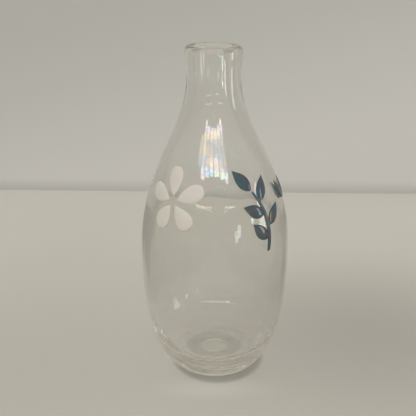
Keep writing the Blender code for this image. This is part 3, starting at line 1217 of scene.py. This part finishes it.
# Painted light on the table: paler towards the back, a painted soft shadow to the right of the vase, a faint
# darker place at the left-back, a painted pool of light in front of the vase and a painted contact shadow
# round the foot, which the glass doesn't show.
TABLE_PAINT = StudioPaint("table_paint", low_colour=(0.528, 0.503, 0.440), high_colour=(0.636, 0.612, 0.538),
                          drift=(-0.10, 0.99, 0.0), drift_low=-0.05, drift_high=0.24,
                          painted_light_spots=(PaintedLightSpot(place=(0.13, 0.03, 0.0), reach=(0.22, 0.16, 1.0), shade=0.80),
                                 PaintedLightSpot(place=(-0.16, 0.10, 0.0), reach=(0.20, 0.30, 1.0), shade=0.95),
                                 PaintedLightSpot(place=(0.0, -0.045, 0.0), reach=(0.060, 0.016, 1.0), shade=1.12),
                                 PaintedLightSpot(place=(0.0025, -0.0025, 0.0), reach=(0.0382, 0.0382, 1.0),
                                           shade=0.68, core=0.88, through_glass=False)))
# Painted light on the wall: darker towards the top and the left, with a painted shade along its foot; its
# painted flag is paler than the table's.
WALL_PAINT = StudioPaint("wall_paint", low_colour=(0.625, 0.606, 0.568), high_colour=(0.487, 0.477, 0.437),
                         drift=(-0.25, 0.0, 0.97), drift_low=0.02, drift_high=0.30, foot_shade=0.80,
                         open_back=True, painted_flag_colour=(0.52, 0.50, 0.455))


@dataclass
class Studio:
    """Table, wall, lamps and surroundings."""

    table_width: float = 6.0
    wall_width: float = 3.2
    wall_height: float = 1.8
    wall_distance: float = 0.349
    wall_yaw: float = math.radians(1.5)
    daylight_colour: Colour = (0.93, 0.93, 0.93)
    backdrop_colour: Colour = (0.455, 0.432, 0.378)
    target: Vector = field(default_factory=lambda: Vector((0.0, 0.0, 0.13)))

    def build(self) -> None:
        """Sets up the whole studio."""
        table = self.sheet("table", self.table_width, self.table_width, TABLE_PAINT.build())
        wall = self.sheet("back_wall", self.wall_width, self.wall_height, WALL_PAINT.build())
        for corner in wall.data.vertices:
            x, y = corner.co.x, corner.co.y
            corner.co = (x * math.cos(self.wall_yaw), self.wall_distance + x * math.sin(-self.wall_yaw),
                         y + self.wall_height / 2)
        self.surround()
        for lamp in self.lamps():
            lamp.build(self.target)

    def lamps(self) -> Iterable[SoftBox]:
        """Lamps of the room.

        Returns:
            Two softboxes for light, the striped panel, its gleam and small lamps low down, one by one.
        """
        yield SoftBox("overhead", turn=-150, elevation=78, distance=1.6, width=1.3, height=1.3,
                      radiance=0.5, lights=True)
        yield SoftBox("front_fill", turn=-15, elevation=35, distance=1.8, width=1.6, height=1.2,
                      radiance=0.9, lights=True, shines=False, passes=False)
        yield from StripedPanel().boxes()
        yield SoftBox("front_gleam", turn=1, elevation=36, distance=1.9, width=1.7, height=0.35,
                      radiance=0.7, passes=False)
        yield SoftBox("low_left", turn=-20, elevation=15.5, distance=1.5, width=0.70, height=0.03,
                      radiance=3.0, colour=(0.9, 1.0, 0.95))
        yield SoftBox("low_right", turn=25, elevation=15, distance=1.5, width=0.40, height=0.03,
                      radiance=3.5, colour=(0.95, 1.0, 0.97))
        yield SoftBox("slim_right", turn=34, elevation=-1.0, distance=0.5, width=0.045, height=0.075,
                      radiance=4.0, colour=(0.8, 1.0, 0.92))
        yield SoftBox("side_window", turn=78, elevation=3, distance=1.0, width=0.14, height=0.45,
                      radiance=4.0)
        yield SoftBox("low_strip", turn=61, elevation=4.5, distance=1.0, width=0.07, height=0.20,
                      radiance=8.0, colour=(0.85, 0.97, 1.0), shines=False)

    @staticmethod
    def sheet(name: str, width: float, depth: float, paint: Material) -> Object:
        """A flat sheet centred on the origin, facing up.

        Args:
            name: Name of the sheet.
            width: Its size along X.
            depth: Its size along Y.
            paint: Its material.

        Returns:
            The sheet.
        """
        half, reach = width / 2, depth / 2
        mesh = bpy.data.meshes.new(name)
        corners = [(-half, -reach, 0), (half, -reach, 0), (half, reach, 0), (-half, reach, 0)]
        mesh.from_pydata(corners, [], [(0, 1, 2, 3)])
        mesh.materials.append(paint)
        return put(name, mesh)

    def surround(self) -> None:
        """World: even daylight that looks like the pale backdrop to the camera, in glass and in gloss."""
        world = bpy.data.worlds.new("surround")
        bpy.context.scene.world = world
        world.use_nodes = True
        writer = TreeWriter(world.node_tree)
        path = writer.add("ShaderNodeLightPath").outputs
        shown = writer.math("MAXIMUM", path["Is Camera Ray"], path["Is Glossy Ray"])
        shown = writer.math("MAXIMUM", shown, path["Is Transmission Ray"])
        colour = writer.mixed(shown, self.daylight_colour, self.backdrop_colour)
        light = writer.place("ShaderNodeBackground", {"Color": colour})
        writer.add("ShaderNodeOutputWorld", {"Surface": light})


@dataclass
class Viewpoint:
    """The camera, a little above the lip and looking down at the table."""

    side: float = -0.0050
    distance: float = 0.3784
    height: float = 0.2885
    pitch: float = math.radians(23.26)
    lens: float = 49.3
    sensor_width: float = 36.0
    nearest: float = 0.01

    def build(self) -> None:
        """Places the camera and makes it the scene's."""
        data = bpy.data.cameras.new("photo_camera")
        data.lens = self.lens
        data.sensor_width = self.sensor_width
        data.clip_start = self.nearest
        camera = put("photo_camera", data)
        camera.location = (self.side, -self.distance, self.height)
        camera.rotation_euler = (math.pi / 2 - self.pitch, 0.0, 0.0)
        bpy.context.scene.camera = camera


CLEAR_FINISH = ClearGlassFinish(Glass.CLEAR, colour=(0.984, 0.979, 0.968), shade=(0.972, 0.974, 0.962),
                                transmission=1.0, roughness=0.0, smudge_roughness=0.03, film_thin=280.0,
                                film_thick=600.0, film_index=1.62, ripple_height=0.00004)
WHITE_FINISH = GlassFinish(Glass.WHITE, colour=(0.66, 0.62, 0.55), shade=(0.58, 0.54, 0.47), transmission=0.0,
                           roughness=0.22, smudge_roughness=0.4, film_thin=200.0, film_thick=350.0,
                           film_index=1.6, ripple_height=0.0002)
DARK_FINISH = GlassFinish(Glass.DARK, colour=(0.038, 0.066, 0.078), shade=(0.072, 0.102, 0.108),
                          transmission=0.0, roughness=0.12, smudge_roughness=0.25, film_thin=260.0,
                          film_thick=420.0, film_index=1.62, ripple_height=0.0003)


def main() -> None:
    """Builds the vase, its studio and the camera."""
    logging.basicConfig(level=logging.INFO, format="%(name)s: %(message)s")
    scene = bpy.context.scene
    scene.view_settings.view_transform = "Standard"
    scene.cycles.max_bounces = GLASS_BOUNCES
    scene.cycles.glossy_bounces = GLASS_BOUNCES
    scene.cycles.transmission_bounces = GLASS_BOUNCES
    scene.cycles.transparent_max_bounces = GLASS_BOUNCES
    Viewpoint().build()
    Studio().build()
    groups = EffectGroups()
    finishes = {finish.glass: finish.build(groups) for finish in (CLEAR_FINISH, WHITE_FINISH, DARK_FINISH)}
    vessel = Vessel().build(finishes[Glass.CLEAR])
    declare(vessel, VESSEL_NODE, Glass.CLEAR)
    trim = FusedTrim(vessel)
    for motif in (Blossom(), Sprig(), LeafPair()):
        motif.build(trim, finishes[motif.glass])


if __name__ == "__main__":
    main()
